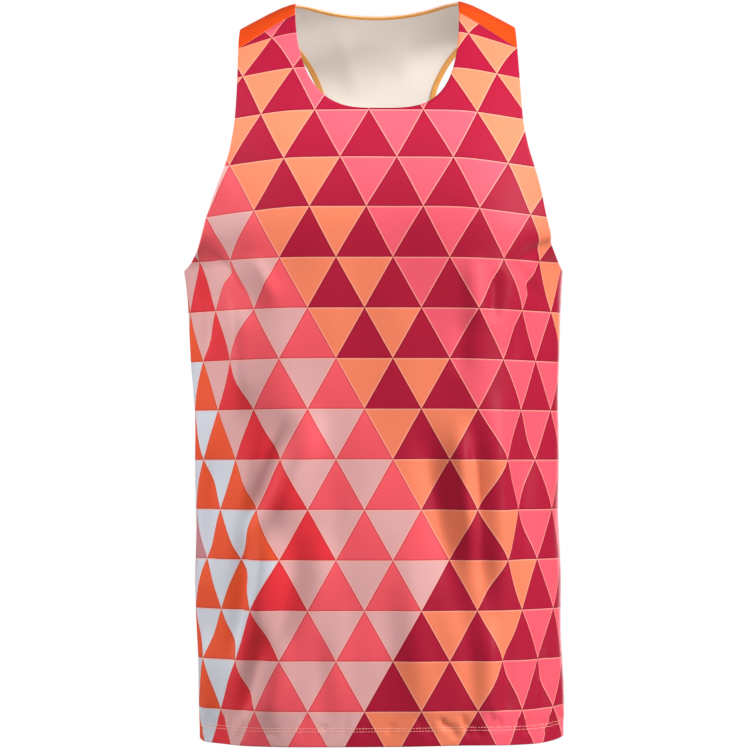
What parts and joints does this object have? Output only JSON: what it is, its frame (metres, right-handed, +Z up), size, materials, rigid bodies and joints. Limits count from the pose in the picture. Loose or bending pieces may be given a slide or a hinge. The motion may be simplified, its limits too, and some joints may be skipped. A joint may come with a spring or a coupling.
{
  "type": "running singlet",
  "caption": "Sleeveless knit running singlet with a deep round neck and a racer back, filled out in its worn shape and open at neck, armholes and hem.",
  "frame": {"origin": "midway between the two shoulder straps, on the line where they cross the top of the shoulders, where the wearer holds the singlet up", "axes": "+Z up along the wearer's body, -Y out of the chest, +X to the wearer's left"},
  "size_m": [0.3579, 0.237, 0.6958],
  "materials": {
    "printed_knit": "sublimation-printed polyester knit, softly lustrous outside, greige inside",
    "amber_tape": "matt knitted binding tape"
  },
  "bodies": {
    "root": {"front_body": "printed_knit", "front_chest": "printed_knit", "back_body": "printed_knit", "back_yoke": "printed_knit", "neck_tape": "amber_tape", "armhole_tape_right": "amber_tape", "armhole_tape_left": "amber_tape"}
  },
  "joints": []
}
